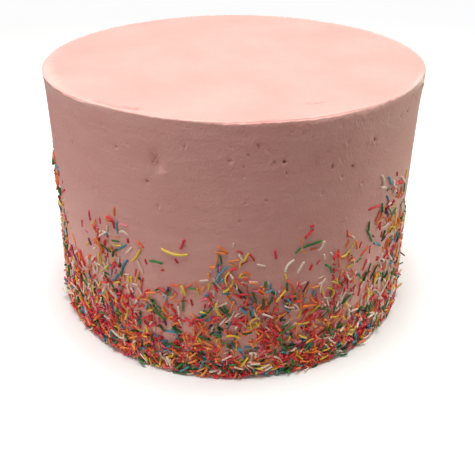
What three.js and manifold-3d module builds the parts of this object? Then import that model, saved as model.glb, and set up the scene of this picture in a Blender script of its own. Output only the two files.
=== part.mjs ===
// A tall round mud cake, uncut, in smooth pink buttercream, with sugar strands pressed in round its foot.
// Millimetres, +Z up. The origin is the middle of the flat base and the front of the cake faces -Y.
// A place on the side is an azimuth in degrees, 0 at the front and growing to the right, and a height.

import * as THREE from 'three';
import { mergeVertices } from 'three/addons/utils/BufferGeometryUtils.js';
import Module from 'manifold-3d';

const wasm = await Module();
wasm.setup();

// The iced cake: it widens a little towards the foot, and its faces are as fine as its slow bulges need.
const HEIGHT = 146.6;
const TOP_RADIUS = 107;
const FOOT_RADIUS = 108.6;
const SIDE_FACES = 96;
const SIDE_ROWS = 8;
const ROWS_TO_FOOT = 1.5;          // above 1, the rows lie closer together towards the foot
const RIM_ROUNDING = 1;
const RIM_STEPS = 2;
const FOOT_ROUNDING = 1.2;

// Slow waves that no scraper takes out: the side is a little oval, with three faint lobes that lean, and the
// top swells and sinks.
const SIDE_BULGE = 0.4;
const OVAL_TURN = -90;             // degrees: the cake is widest from side to side
const LOBES_SHARE = 0.4;           // of the bulge
const LOBES_LEAN = 41;             // height in which the lobes turn by a radian of their wave
const TOP_SWELL = 0.35;
const SWELL_WIDTH = 38;            // run of a radian of the swell's wave, from side to side
const SWELL_LENGTH = 45;           // the same from front to back
const SWELL_SHIFT = 1;             // radians

// The scraper leaves the top's outer edge crisp, but for one stretch on the left where it slopes down.
const SLOPE_WIDTH = 7;
const SLOPE_DROP = 1;
const SLOPE_AZIMUTH = -60;
const SLOPE_SPREAD = 24;

// Strands lie so thick against the foot that they build up a bank, as uneven as the strands are thick.
const BANK_DEPTH = 0.9;
const BANK_HEIGHT = 34;
const BANK_ROUGHNESS = 0.7;
const BANK_SEED = 21;

// Sugar strands
const STRAND_DIAMETER = 1.3;
const STRAND_SIDES = 5;
const STRAND_SUNK = 0.36;          // share of the diameter below the surface
const STRAND_LENGTHS = [6.5, 10];
const STRAND_BEND = 0.5;           // most that a thrown one stands off a straight line at its middle
const STRAND_STRAIGHT = 0.35;      // a smaller bend than this is left out
const STRAND_CLEARANCE = 4.2;      // between the middles and ends of neighbours
const STRAND_THROWS = 1500;
const STRAND_SEED = 20;
const LOWEST_THROW = 3;
const HIGHEST_THROW = 101;
const STRANDS_AT_MOST = 176;

// The strands were thrown at the foot by the handful, so they reach high in places: [azimuth, top, spread].
const CLOSE_HEIGHT = 26;           // nearly hidden icing below this
const BAND_HEIGHT = 58;
const COVER_FALL = 1.3;            // above 1, the cover thins out sooner on the way up
const HANDFULS = [
  [-65, 98, 9], [-33, 95, 12], [-3, 84, 10], [21, 90, 6], [33, 74, 8], [48, 104, 9], [62, 97, 9],
  [86, 78, 10], [109, 97, 11], [136, 80, 9], [158, 101, 12], [183, 84, 9], [206, 95, 11], [231, 76, 10],
  [254, 93, 10], [276, 80, 9],
];

// Strands that stand apart from the rest on the front: from and to as [azimuth, height], bend in millimetres.
const FRONT_ARC = 62;
const FRONT_BAND = 52;
const LONE_STRANDS = [
  { from: [-19, 78.4], to: [-11.6, 77.4], bend: -1.7 },
  { from: [-12.6, 85.7], to: [-13.7, 80], bend: 0.3 },
  { from: [-22.7, 69.5], to: [-18.9, 69.4], bend: 0.4 },
  { from: [1.6, 79.1], to: [2.8, 74.6], bend: 0 },
  { from: [11, 80.3], to: [11.4, 75.2], bend: 0 },
  { from: [16.4, 73.1], to: [14.1, 66.5], bend: -1.2 },
  { from: [14.8, 61.4], to: [16.9, 52.6], bend: 1 },
  { from: [19.3, 71], to: [17.5, 64.7], bend: 0 },
  { from: [2.1, 62.3], to: [6.7, 62], bend: 0.5 },
  { from: [21.5, 88.8], to: [19.1, 84.8], bend: 0 },
  { from: [18.9, 79.4], to: [24.2, 80.9], bend: 0.4 },
  { from: [25, 80.6], to: [23.3, 75.8], bend: 0.8 },
  { from: [-33, 95], to: [-33.2, 90], bend: 0 },
  { from: [-35.5, 88.6], to: [-33.7, 82], bend: 1 },
  { from: [-40.5, 74.9], to: [-42.8, 66.8], bend: 0.4 },
  { from: [-32.9, 70.3], to: [-30, 74.9], bend: 0 },
  { from: [-25.4, 74.9], to: [-28.4, 66.2], bend: 0.5 },
  { from: [-30, 65.6], to: [-32.4, 56.9], bend: -0.6 },
  { from: [-26.4, 79.3], to: [-24.4, 76.2], bend: 0 },
  { from: [40.2, 89.8], to: [46, 88.3], bend: 0.5 },
  { from: [40.5, 77.7], to: [43.6, 68.1], bend: 0 },
  { from: [44.5, 66.2], to: [48.5, 61.3], bend: 0.6 },
  { from: [29.2, 71.2], to: [32.7, 65.6], bend: -0.5 },
  { from: [25.9, 65.9], to: [28.4, 59.4], bend: 1.2 },
  { from: [44.2, 107], to: [45.8, 100], bend: 1 },
  { from: [48.4, 103.6], to: [52.5, 95.8], bend: -1 },
  { from: [53.1, 95.8], to: [58.9, 92.6], bend: 0 },
];

// Air bubbles and drags that the scraper opened in the icing: how far each runs along, up and into the side.
const DENT_FACES = [8, 6];
const DENTS = [
  { azimuth: -18.9, height: 126.3, size: [2.4, 4.6, 0.9] },
  { azimuth: 12.5, height: 126.6, size: [1.6, 1.9, 1.3] },
  { azimuth: 39.4, height: 128.7, size: [1.7, 2, 1.3] },
  { azimuth: 25.7, height: 120.9, size: [1.1, 2.7, 0.9] },
];

const SMALLEST_EDGE = 0.02;        // shorter edges left by joining the strands are closed up
const NEARLY = 0.01;               // places closer than this are taken for one

const PINK_BUTTERCREAM = new THREE.MeshStandardMaterial({ color: 0xe8b4ac, roughness: 0.6, metalness: 0 });

const radians = THREE.MathUtils.degToRad;
const MM_PER_DEGREE = radians(FOOT_RADIUS);

/** A repeatable random draw from 0 to 1. */
function seededDraw(seed) {
  let state = seed;
  return () => {
    state = (Math.imul(state, 1664525) + 1013904223) >>> 0;
    return state / 2 ** 32;
  };
}

/** A soft bump of height 1, centred on an azimuth and fading with the angle from it. */
function bump(azimuth, centre, spread) {
  const away = ((azimuth - centre + 540) % 360) - 180;
  return Math.exp(-((away / spread) ** 2));
}

/** The radius of a perfectly round cake, which narrows a little towards the top. */
function taper(height) {
  return THREE.MathUtils.lerp(FOOT_RADIUS, TOP_RADIUS, height / HEIGHT);
}

/** How far the icing bulges out of round, in slow waves that no scraper takes out. */
function bulge(azimuth, height) {
  const oval = Math.sin(radians(2 * azimuth + OVAL_TURN));
  const lobes = Math.sin(radians(3 * azimuth) + height / LOBES_LEAN);
  return SIDE_BULGE * (oval + LOBES_SHARE * lobes);
}

/** How far the top stands above a level one, or falls short of it. */
function swell(x, y) {
  return TOP_SWELL * Math.sin(x / SWELL_WIDTH + SWELL_SHIFT) * Math.sin(y / SWELL_LENGTH);
}

/** How far the bank of strands stands out from the icing. */
function bankDepth(height) {
  return BANK_DEPTH * THREE.MathUtils.clamp(1 - height / BANK_HEIGHT, 0, 1);
}

/** How high the thrown strands reach at an azimuth. */
function handfulTop(azimuth) {
  const rises = HANDFULS.map(([centre, top, spread]) => (top - BAND_HEIGHT) * bump(azimuth, centre, spread));
  return BAND_HEIGHT + Math.max(...rises);
}

/** The chance that a strand stays where it is thrown: certain at the foot, and none above the handful. */
function cover(azimuth, height) {
  const rise = (height - CLOSE_HEIGHT) / (handfulTop(azimuth) - CLOSE_HEIGHT);
  return (1 - THREE.MathUtils.clamp(rise, 0, 1)) ** COVER_FALL;
}

/** A point of the side, a given distance out of the icing or bank. */
function onSide(azimuth, height, out) {
  const radius = taper(height) + bulge(azimuth, height) + bankDepth(height) + out;
  const angle = radians(azimuth);
  return new THREE.Vector3(radius * Math.sin(angle), -radius * Math.cos(angle), height);
}

/** A geometry with its shared corners joined. */
function joined(geometry) {
  geometry.deleteAttribute('normal');
  geometry.deleteAttribute('uv');
  return mergeVertices(geometry);
}

/** A closed geometry, already joined, as a solid without empty triangles. */
function solid(geometry) {
  const index = geometry.getIndex().array;
  const corners = [];
  for (let i = 0; i < index.length; i += 3) {
    const [a, b, c] = index.slice(i, i + 3);
    if (a !== b && b !== c && c !== a) corners.push(a, b, c);
  }
  return new wasm.Manifold(new wasm.Mesh({
    numProp: 3,
    vertProperties: geometry.getAttribute('position').array,
    triVerts: Uint32Array.from(corners),
  }));
}

/** The outline that turns into the cake, from the middle of the base round to the middle of the top. */
function cakeOutline() {
  const outline = [[0, 0], [FOOT_RADIUS - FOOT_ROUNDING, 0]];
  const shoulder = HEIGHT - RIM_ROUNDING;
  for (let row = 0; row <= SIDE_ROWS; row += 1) {
    const height = FOOT_ROUNDING + (shoulder - FOOT_ROUNDING) * (row / SIDE_ROWS) ** ROWS_TO_FOOT;
    outline.push([taper(height), height]);
  }
  for (let step = 1; step <= RIM_STEPS; step += 1) {
    const turn = (step / RIM_STEPS) * Math.PI / 2;
    const radius = TOP_RADIUS - RIM_ROUNDING * (1 - Math.cos(turn));
    outline.push([radius, shoulder + RIM_ROUNDING * Math.sin(turn)]);
  }
  outline.push([TOP_RADIUS - SLOPE_WIDTH, HEIGHT], [TOP_RADIUS / 2, HEIGHT], [0, HEIGHT]);
  return outline.map(([radius, height]) => new THREE.Vector2(radius, height));
}

/** Moves one corner of the turned cake to where the uneven icing puts it. */
function settle(corner, roughness) {
  const radius = Math.hypot(corner.x, corner.y);
  const azimuth = THREE.MathUtils.radToDeg(Math.atan2(corner.x, -corner.y));
  const edge = THREE.MathUtils.clamp((radius - TOP_RADIUS + SLOPE_WIDTH) / SLOPE_WIDTH, 0, 1);
  const banked = corner.z > NEARLY && corner.z < BANK_HEIGHT;
  const bank = banked ? bankDepth(corner.z) + roughness : 0;
  const wider = bulge(azimuth, corner.z) * (radius / taper(corner.z)) ** 2 + bank;
  if (corner.z > HEIGHT - RIM_ROUNDING - NEARLY) {
    const drop = SLOPE_DROP * edge ** 2 * bump(azimuth, SLOPE_AZIMUTH, SLOPE_SPREAD);
    corner.z += swell(corner.x, corner.y) - drop;
  }
  if (radius > NEARLY) {
    corner.x *= (radius + wider) / radius;
    corner.y *= (radius + wider) / radius;
  }
}

/** The iced cake without its strands. */
function icedBody() {
  const turned = new THREE.LatheGeometry(cakeOutline(), SIDE_FACES);
  turned.rotateX(Math.PI / 2);
  const body = joined(turned);
  const place = body.getAttribute('position');
  const draw = seededDraw(BANK_SEED);
  const corner = new THREE.Vector3();
  for (let i = 0; i < place.count; i += 1) {
    settle(corner.fromBufferAttribute(place, i), BANK_ROUGHNESS * draw());
    place.setXYZ(i, corner.x, corner.y, corner.z);
  }
  return solid(body);
}

/** A dent: a flattened ball, turned to face its place on the side. */
function dent({ azimuth, height, size: [along, up, into] }) {
  const ball = new THREE.SphereGeometry(1, ...DENT_FACES);
  ball.scale(along, into, up);
  ball.rotateZ(radians(azimuth));
  const { x, y, z } = onSide(azimuth, height, 0);
  ball.translate(x, y, z);
  return solid(joined(ball));
}

/** The three points that a strand bends through on the side, each as [azimuth, height]. */
function strandPoints({ from, to, bend }) {
  const run = (to[0] - from[0]) * MM_PER_DEGREE;
  const rise = to[1] - from[1];
  const length = Math.hypot(run, rise);
  const middle = [
    (from[0] + to[0]) / 2 - (bend * rise / length) / MM_PER_DEGREE,
    (from[1] + to[1]) / 2 + bend * run / length,
  ];
  return [from, middle, to];
}

/** One sugar strand: a thin rod, bent along the side and partly sunk in it. */
function strand(placed) {
  const out = STRAND_DIAMETER * (0.5 - STRAND_SUNK);
  const points = strandPoints(placed).map(([azimuth, height]) => onSide(azimuth, height, out));
  const path = new THREE.CatmullRomCurve3(points);
  const section = new THREE.Shape();
  for (let side = 0; side < STRAND_SIDES; side += 1) {
    const angle = (2 * Math.PI * side) / STRAND_SIDES;
    const x = (STRAND_DIAMETER / 2) * Math.cos(angle);
    const y = (STRAND_DIAMETER / 2) * Math.sin(angle);
    if (side === 0) section.moveTo(x, y);
    else section.lineTo(x, y);
  }
  const steps = Math.abs(placed.bend) < STRAND_STRAIGHT ? 1 : 2;
  return solid(joined(new THREE.ExtrudeGeometry(section, { steps, extrudePath: path, bevelEnabled: false })));
}

/** Whether two strands keep clear of each other, by their ends and middles. */
function apart(one, other) {
  return strandPoints(one).every((p) => strandPoints(other).every((q) => {
    const across = ((p[0] - q[0] + 540) % 360) - 180;
    return Math.hypot(across * MM_PER_DEGREE, p[1] - q[1]) > STRAND_CLEARANCE;
  }));
}

/** Throws strands round the foot and keeps those that land clear of the rest, most of them near the foot. */
function thrownStrands() {
  const draw = seededDraw(STRAND_SEED);
  const kept = [];
  for (let i = 0; i < STRAND_THROWS && kept.length < STRANDS_AT_MOST; i += 1) {
    const azimuth = 360 * draw() - 180;
    const height = THREE.MathUtils.lerp(LOWEST_THROW, HIGHEST_THROW, draw());
    const length = THREE.MathUtils.lerp(...STRAND_LENGTHS, draw());
    const lean = Math.PI * draw();
    const bend = STRAND_BEND * (2 * draw() - 1);
    const stays = draw() < cover(azimuth, height);
    const across = (length / 2) * Math.cos(lean) / MM_PER_DEGREE;
    const up = (length / 2) * Math.sin(lean);
    const thrown = { from: [azimuth - across, height - up], to: [azimuth + across, height + up], bend };
    const onCake = height - up > STRAND_DIAMETER;
    const seenApart = Math.abs(azimuth) < FRONT_ARC && height > FRONT_BAND;
    if (stays && onCake && !seenApart && [...LONE_STRANDS, ...kept].every((other) => apart(thrown, other))) {
      kept.push(thrown);
    }
  }
  return kept;
}

/** The cake with its strands joined to it, as one solid. */
function icedCake() {
  const dented = DENTS.reduce((cake, place) => cake.subtract(dent(place)), icedBody());
  const strands = [...LONE_STRANDS, ...thrownStrands()].map(strand);
  return strands.reduce((cake, piece) => cake.add(piece), dented).simplify(SMALLEST_EDGE);
}

/** A named mesh from a solid. */
function mesh(name, whole, material) {
  const { vertProperties, triVerts } = whole.getMesh();
  const geometry = new THREE.BufferGeometry();
  geometry.setAttribute('position', new THREE.BufferAttribute(vertProperties, 3));
  geometry.setIndex(new THREE.BufferAttribute(triVerts, 1));
  geometry.computeVertexNormals();
  const made = new THREE.Mesh(geometry, material);
  made.name = name;
  return made;
}

const cake = new THREE.Group();
cake.add(mesh('iced_cake', icedCake(), PINK_BUTTERCREAM));

export default cake;
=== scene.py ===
import math
import random
from collections import namedtuple

import bmesh
import bpy
import numpy as np
from mathutils import Matrix, Vector, noise


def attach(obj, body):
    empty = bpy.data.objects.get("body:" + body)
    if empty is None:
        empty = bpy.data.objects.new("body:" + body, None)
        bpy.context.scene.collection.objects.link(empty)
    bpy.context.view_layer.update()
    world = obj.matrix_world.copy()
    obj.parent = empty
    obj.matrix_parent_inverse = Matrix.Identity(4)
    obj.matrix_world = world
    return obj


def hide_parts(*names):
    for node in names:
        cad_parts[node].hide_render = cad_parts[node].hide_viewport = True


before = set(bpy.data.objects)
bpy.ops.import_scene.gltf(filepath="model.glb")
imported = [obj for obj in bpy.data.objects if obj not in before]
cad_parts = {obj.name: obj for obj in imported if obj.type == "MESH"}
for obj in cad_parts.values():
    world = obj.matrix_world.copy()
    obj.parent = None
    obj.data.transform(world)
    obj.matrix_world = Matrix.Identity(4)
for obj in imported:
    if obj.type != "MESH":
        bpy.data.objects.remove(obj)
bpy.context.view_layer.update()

# A tall round cake in smooth pink buttercream, with sugar strands thrown at its foot and pressed in.
# Sizes are in millimetres and turn into Blender's metres as each mesh is made. A place on the side is an
# azimuth in degrees, 0 at the front (-Y) and growing to the right, and a height.
MM = 0.001
WHOLE = "iced_cake"


# ---------------------------------------------------------------- camera

# The photograph's viewpoint: its side in pixels, its focal length in pixels and the row that the lens faces.
PICTURE = 475
FOCAL_PIXELS = 612.7
LENS_ROW = 205
SENSOR = 36
CAMERA_AWAY = 354.4
CAMERA_HEIGHT = 243.7
CAMERA_PITCH = 0.5080
CAMERA_ROLL = 0.0106
CAMERA_YAW = 0.0086
CLIP_METRES = (0.01, 50)


def add_object(name, data):
    """A new object in the scene."""
    thing = bpy.data.objects.new(name, data)
    bpy.context.scene.collection.objects.link(thing)
    return thing


def make_camera():
    """The camera at the photograph's viewing angle, looking down on the front of the cake."""
    data = bpy.data.cameras.new("camera")
    data.sensor_width = SENSOR
    data.lens = SENSOR * FOCAL_PIXELS / PICTURE
    data.shift_y = (LENS_ROW - PICTURE / 2) / PICTURE
    data.clip_start, data.clip_end = CLIP_METRES
    turn = Matrix.Rotation(-CAMERA_YAW, 3, "Z")
    right = turn @ Vector((1, 0, 0))
    up = turn @ Vector((0, math.sin(CAMERA_PITCH), math.cos(CAMERA_PITCH)))
    back = right.cross(up)
    roll = Matrix.Rotation(CAMERA_ROLL, 3, back)
    axes = Matrix((roll @ right, roll @ up, back)).transposed()
    camera = add_object("camera", data)
    camera.matrix_world = Matrix.Translation(Vector((0, -CAMERA_AWAY, CAMERA_HEIGHT)) * MM) @ axes.to_4x4()
    bpy.context.scene.camera = camera


# ---------------------------------------------------------------- materials

def feed(tree, node, inputs):
    """Sets a node's inputs by name or number, each to a value or to a socket that it is linked from."""
    for name, value in inputs.items():
        if isinstance(value, bpy.types.NodeSocket):
            tree.links.new(value, node.inputs[name])
        else:
            node.inputs[name].default_value = value


def add_node(tree, kind, inputs=None, **settings):
    """A shader node with its settings and its inputs."""
    node = tree.nodes.new(kind)
    for name, value in settings.items():
        setattr(node, name, value)
    feed(tree, node, inputs or {})
    return node


def new_group(name, inputs, outputs):
    """A shader node group with named sockets: its tree, its inputs as sockets, and its output node."""
    tree = bpy.data.node_groups.new(name, "ShaderNodeTree")
    for label, kind, value in inputs:
        socket = tree.interface.new_socket(name=label, in_out="INPUT", socket_type=f"NodeSocket{kind}")
        socket.default_value = value
    for label, kind in outputs:
        tree.interface.new_socket(name=label, in_out="OUTPUT", socket_type=f"NodeSocket{kind}")
    return tree, tree.nodes.new("NodeGroupInput").outputs, tree.nodes.new("NodeGroupOutput")


def place_on_object(tree):
    """The place on the object, in metres."""
    return add_node(tree, "ShaderNodeTexCoord").outputs["Object"]


def stretched_place(tree, stretch):
    """The place on the object, in metres, stretched by a vector or a vector socket."""
    values = {0: place_on_object(tree), 1: stretch}
    return add_node(tree, "ShaderNodeVectorMath", values, operation="MULTIPLY").outputs[0]


def mix(tree, share, colour1, colour2):
    """One colour going over into another."""
    return add_node(tree, "ShaderNodeMixRGB", {"Fac": share, "Color1": colour1, "Color2": colour2}).outputs[0]


def mottle_group():
    """Two colours that drift into each other in soft uneven patches, and a third, a painted shade, down pits.
    Shift moves the drift as a whole, to the light colour below 0 and to the dark one above it."""
    tree, given, made = new_group(
        "mottle",
        [("Light", "Color", (1, 1, 1, 1)), ("Dark", "Color", (0, 0, 0, 1)), ("Pit Shade Color", "Color", (0, 0, 0, 1)),
         ("Scale", "Float", 40.0), ("Stretch", "Vector", (1, 1, 1)), ("Least", "Float", 0.0),
         ("Most", "Float", 1.0), ("Shift", "Float", 0.0), ("Pit Shade Share", "Float", 0.0), ("Smooth", "Float", 0.3),
         ("Rough", "Float", 0.6)],
        [("Color", "Color"), ("Roughness", "Float")],
    )
    patches = add_node(tree, "ShaderNodeTexNoise", {
        "Vector": stretched_place(tree, given["Stretch"]), "Scale": given["Scale"], "Detail": 3.0,
        "Roughness": 0.55})
    share = add_node(tree, "ShaderNodeMapRange", {
        "Value": patches.outputs["Fac"], "From Min": 0.3, "From Max": 0.7,
        "To Min": given["Least"], "To Max": given["Most"]})
    shifted = add_node(tree, "ShaderNodeMath", {0: share.outputs["Result"], 1: given["Shift"]},
                       operation="ADD", use_clamp=True).outputs[0]
    drift = mix(tree, shifted, given["Light"], given["Dark"])
    finish = add_node(tree, "ShaderNodeMapRange", {
        "Value": shifted, "To Min": given["Smooth"], "To Max": given["Rough"]})
    feed(tree, made, {"Color": mix(tree, given["Pit Shade Share"], drift, given["Pit Shade Color"]),
                      "Roughness": finish.outputs["Result"]})
    return tree


def grain_group():
    """A fine uneven surface as a normal: long soft drags with a small grain over them."""
    tree, given, made = new_group(
        "grain",
        [("Drag Scale", "Float", 60.0), ("Drag Stretch", "Vector", (1, 1, 1)),
         ("Grain Scale", "Float", 900.0), ("Grain Share", "Float", 0.3), ("Strength", "Float", 0.3),
         ("Depth", "Float", 0.0003)],
        [("Normal", "Vector")],
    )
    drags = add_node(tree, "ShaderNodeTexNoise", {
        "Vector": stretched_place(tree, given["Drag Stretch"]), "Scale": given["Drag Scale"], "Detail": 2.0})
    grain = add_node(tree, "ShaderNodeTexNoise", {
        "Vector": place_on_object(tree), "Scale": given["Grain Scale"], "Detail": 3.0})
    height = add_node(tree, "ShaderNodeMath", {
        0: grain.outputs["Fac"], 1: given["Grain Share"], 2: drags.outputs["Fac"]}, operation="MULTIPLY_ADD")
    raised = add_node(tree, "ShaderNodeBump", {
        "Height": height.outputs[0], "Strength": given["Strength"], "Distance": given["Depth"]})
    feed(tree, made, {"Normal": raised.outputs["Normal"]})
    return tree


MOTTLE = mottle_group()
GRAIN = grain_group()


def new_material(name, shader, mottle, grain, attributes):
    """A Principled material coloured by the mottle group and roughened by the grain group.
    attributes gives the mesh attribute that feeds each of some of the mottle's sockets."""
    material = bpy.data.materials.new(name)
    material.use_nodes = True
    tree = material.node_tree
    patches = add_node(tree, "ShaderNodeGroup", node_tree=MOTTLE)
    surface = add_node(tree, "ShaderNodeGroup", node_tree=GRAIN)
    feed(tree, surface, grain)
    feed(tree, patches, mottle)
    for socket, attribute in attributes.items():
        values = add_node(tree, "ShaderNodeAttribute", attribute_name=attribute)
        feed(tree, patches, {socket: values.outputs["Fac"]})
    feed(tree, tree.nodes["Principled BSDF"], {
        **shader, "Base Color": patches.outputs["Color"], "Roughness": patches.outputs["Roughness"],
        "Normal": surface.outputs["Normal"]})
    return material


def linear(red, green, blue):
    """A colour picked as screen values from 0 to 255, as the shader's linear one."""
    shares = [value / 255 for value in (red, green, blue)]
    return [s / 12.92 if s <= 0.04045 else ((s + 0.055) / 1.055) ** 2.4 for s in shares] + [1]


def buttercream():
    """Pink buttercream: fatty and softly lit from within, with faint scraper drags, a painted creamy
    highlight along stretches of the rim and on the bubbles' lips, pinker where it was dragged, and painted
    shade in its bubbles' hollows and down their holes."""
    return new_material(
        "buttercream",
        {"Subsurface Weight": 0.06, "Subsurface Radius": (1, 0.6, 0.5), "Subsurface Scale": 0.0008,
         "Specular IOR Level": 0.2},
        # The third colour is a painted shade for the bubbles' holes.
        {"Light": linear(252, 207, 196), "Dark": linear(219, 129, 123), "Pit Shade Color": linear(128, 62, 52),
         "Scale": 28, "Stretch": (1, 1, 2.5), "Least": 0.4, "Most": 0.55, "Smooth": 0.38, "Rough": 0.6},
        {"Drag Scale": 60, "Drag Stretch": (1, 1, 3), "Grain Scale": 820, "Grain Share": 0.6,
         "Strength": 0.8, "Depth": 0.0005},
        {"Shift": "tone", "Pit Shade Share": "pit_shade"},
    )


# Each kind of strand: its light and dark tints, and its share of all the strands.
STRAND_KINDS = {
    "red": (linear(246, 84, 84), linear(214, 40, 56), 0.24),
    "scarlet": (linear(250, 122, 84), linear(238, 82, 60), 0.08),
    "orange": (linear(255, 164, 88), linear(246, 128, 54), 0.12),
    "yellow": (linear(252, 222, 100), linear(240, 194, 60), 0.07),
    "green": (linear(70, 142, 68), linear(28, 84, 40), 0.14),
    "blue": (linear(108, 176, 194), linear(62, 126, 154), 0.08),
    "white": (linear(248, 230, 212), linear(236, 204, 186), 0.15),
    "plum": (linear(132, 66, 96), linear(84, 36, 66), 0.02),
    "pink": (linear(248, 132, 150), linear(230, 84, 108), 0.05),
}

# Where a kind is commoner or rarer than elsewhere: azimuth, height, half width, half height, factor.
KIND_PATCHES = {
    "red": [(-45, 28, 9, 32, 1.1), (-33, 14, 12, 16, 0.75), (0, 3, 46, 9, 0.5), (32, 28, 16, 30, 0.85),
            (56, 30, 10, 40, 0.7)],
    "scarlet": [(0, 3, 46, 9, 0.6)],
    "orange": [(-60, 10, 14, 18, 1.5), (-32, 20, 9, 26, 1.3), (0, 35, 18, 40, 1.6), (4, 6, 14, 9, 1.7),
               (20, 28, 12, 22, 1.4), (58, 80, 10, 22, 1.8)],
    "yellow": [(-56, 25, 16, 40, 0.6), (28, 28, 6, 9, 2), (40, 18, 8, 8, 2), (60, 5, 8, 7, 2)],
    "green": [(-56, 30, 16, 45, 0.3), (-3, 12, 24, 13, 1.5), (60, 28, 8, 8, 2.5), (-10, 3, 40, 8, 1.5)],
    "blue": [(-56, 25, 16, 45, 0.4), (20, 20, 16, 30, 0.7)],
    "white": [(-64, 34, 14, 36, 2.2), (-44, 50, 9, 16, 1.8), (-53, 24, 9, 14, 2), (-30, 18, 14, 20, 0.4),
              (0, 24, 18, 40, 0.5), (37, 28, 10, 18, 1.6), (56, 38, 12, 34, 2.8)],
    "pink": [(-62, 40, 14, 34, 2), (-44, 24, 12, 20, 1.5)],
}


def sugar(kind):
    """Dyed sugar paste, a little waxy, each strand in its own shade."""
    light, dark, _ = STRAND_KINDS[kind]
    return new_material(
        f"sugar_{kind}",
        {"Subsurface Weight": 0.12, "Subsurface Radius": (1, 0.8, 0.7), "Subsurface Scale": 0.0008,
         "Specular IOR Level": 0.4},
        {"Light": light, "Dark": dark, "Scale": 260, "Smooth": 0.34, "Rough": 0.5},
        {"Drag Scale": 700, "Drag Stretch": (1, 1, 1), "Grain Scale": 2600, "Grain Share": 0.4,
         "Strength": 0.3, "Depth": 0.0001},
        {"Shift": "shade"},
    )


# ---------------------------------------------------------------- shape of the cake

HEIGHT = 146.6
TOP_RADIUS = 107
FOOT_RADIUS = 108.6
FOOT_ROUNDING = 1.2
RIM_ROUNDING = 0.8
SHOULDER = HEIGHT - RIM_ROUNDING
MM_PER_DEGREE = math.radians(FOOT_RADIUS)

# A hair's breadth, to tell one row of points from the next
HAIR = 0.01

# Slow waves that no scraper takes out: the side is a little oval with three faint lobes that lean, and the
# top swells and sinks. Turns are in degrees, and runs in millimetres for each radian of a wave.
SIDE_BULGE = 0.4
OVAL_TURN = -90
LOBES_SHARE = 0.4
LOBES_LEAN = 41
TOP_SWELL = 0.35
SWELL_WIDTH = 38
SWELL_LENGTH = 45
SWELL_SHIFT = 1

# The stretch of rim on the left where the top slopes down to it
SLOPE_WIDTH = 7
SLOPE_DROP = 1.4
SLOPE_AZIMUTH = -66
SLOPE_SPREAD = 24


def turned_from(azimuth, centre):
    """The angle from one azimuth to another, from -180 to 180."""
    return (azimuth - centre + 540) % 360 - 180


def bump(azimuth, centre, spread):
    """A soft bump of height 1, centred on an azimuth and fading with the angle from it."""
    return np.exp(-((turned_from(azimuth, centre) / spread) ** 2))


def taper(height):
    """The radius of a perfectly round cake, which narrows a little towards the top."""
    return FOOT_RADIUS + (TOP_RADIUS - FOOT_RADIUS) * height / HEIGHT


def bulge(azimuth, height):
    """How far the icing bulges out of round."""
    oval = np.sin(np.radians(2 * azimuth + OVAL_TURN))
    lobes = np.sin(np.radians(3 * azimuth) + height / LOBES_LEAN)
    return SIDE_BULGE * (oval + LOBES_SHARE * lobes)


# ---------------------------------------------------------------- icing

# How fine the icing's mesh is: steps round the cake, rows under the strands, above them, at the rim and on
# the scratched ring of the top, cuts of each edge near a mark, and how close two points are merged.
TURNS = 540
STRANDS_HIDE = 30
COVERED_ROW = 3.2
BARE_ROW = 1.7
RIM_BAND = 6
RIM_ROW = 0.5
ROUNDING_STEPS = 5
TOP_ROWS = 26
TOP_CROWDING = 1.5
SCRATCHED_RADII = (87, 92)
SCRATCHED_ROW = 0.8
MARK_CUTS = 3
MARK_REACH = 1.6
MERGED = 0.001

# The icing's smooth unevenness: how strong each noise is, how long its waves are along each axis, its seed.
SIDE_WAVES = [(0.3, 46, 11), (0.1, (20, 20, 9), 23), (0.05, (55, 55, 4.5), 31), (0.05, 3.5, 37)]
TOP_WAVES = [(0.12, 34, 41), (0.05, (7, 30, 10), 47)]
RIM_WAVES = [(0.18, 9, 3), (0.4, 2.6, 5)]
LEAN_WAVES = [(0.4, 11, 53), (0.6, 2.4, 57)]
RIM_HIGHLIGHT_WAVES = [(0.5, 4, 71)]
MARK_WAVES = [(0.65, 1.5, 61)]
HOLLOW_WAVES = [(1, 0.9, 67)]

# Plain dents in the side, and below 0, lumps on it: azimuth, height, half width, half height, depth.
SIDE_DENTS = [
    (-18.9, 124.6, 2.7, 4.1, 1.3), (-20, 128.4, 1.4, 1.8, 0.3), (-17.2, 119.4, 2.1, 1.6, -0.4),
    (37.2, 129.4, 0.9, 2, -0.3), (40.6, 126.2, 2.2, 0.8, -0.3), (67, 144, 1.8, 1.1, -0.5),
    (66, 139, 1.6, 1.2, -0.4), (62, 138, 0.9, 2.2, -0.4), (71, 140.5, 1.6, 2.4, -0.5),
]

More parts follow.
